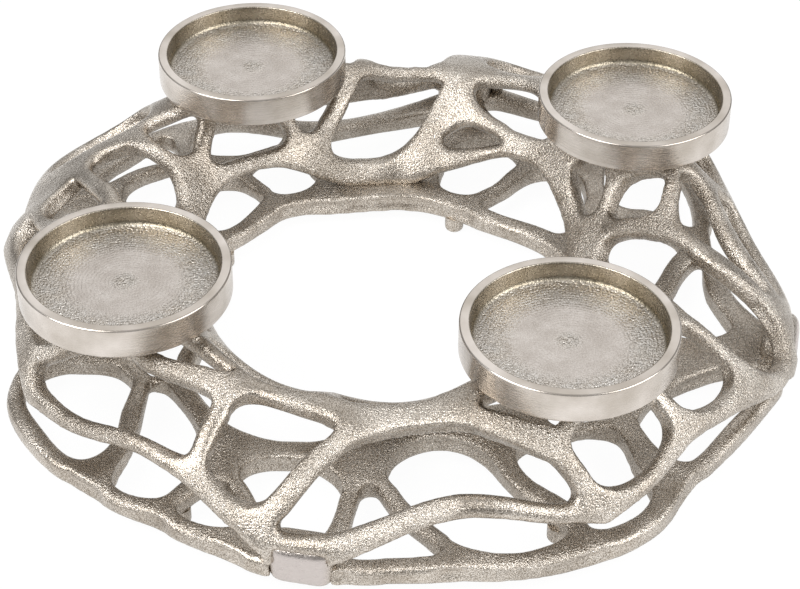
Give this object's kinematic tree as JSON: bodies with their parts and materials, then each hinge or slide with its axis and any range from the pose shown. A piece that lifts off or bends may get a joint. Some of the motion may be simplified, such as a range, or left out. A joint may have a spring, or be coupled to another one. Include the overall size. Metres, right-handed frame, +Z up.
{
  "type": "advent candle holder",
  "caption": "Ring-shaped table candle holder: an arched openwork ring of cast metal on a flat openwork base, with shallow round cups for pillar candles.",
  "frame": {"origin": "middle of the ring on the table top", "axes": "+Z up; +X to the right and +Y to the back as the picture shows the ring"},
  "size_m": [0.3678, 0.3678, 0.0815],
  "materials": {
    "cast_nickel": "sandy raw nickel-plated casting",
    "turned_nickel": "turned, satin nickel-plated",
    "ground_weld": "ground smooth",
    "peg_foot": "sandy raw casting"
  },
  "bodies": {
    "root": {"web_back_right": "cast_nickel", "base_back_right": "cast_nickel", "cup_back_right": "turned_nickel", "web_back_left": "cast_nickel", "base_back_left": "cast_nickel", "cup_back_left": "turned_nickel", "web_front_left": "cast_nickel", "base_front_left": "cast_nickel", "cup_front_left": "turned_nickel", "web_front_right": "cast_nickel", "base_front_right": "cast_nickel", "cup_front_right": "turned_nickel", "weld_right": "ground_weld", "weld_back": "ground_weld", "weld_left": "ground_weld", "weld_front": "ground_weld", "peg_feet": "peg_foot"}
  },
  "joints": []
}
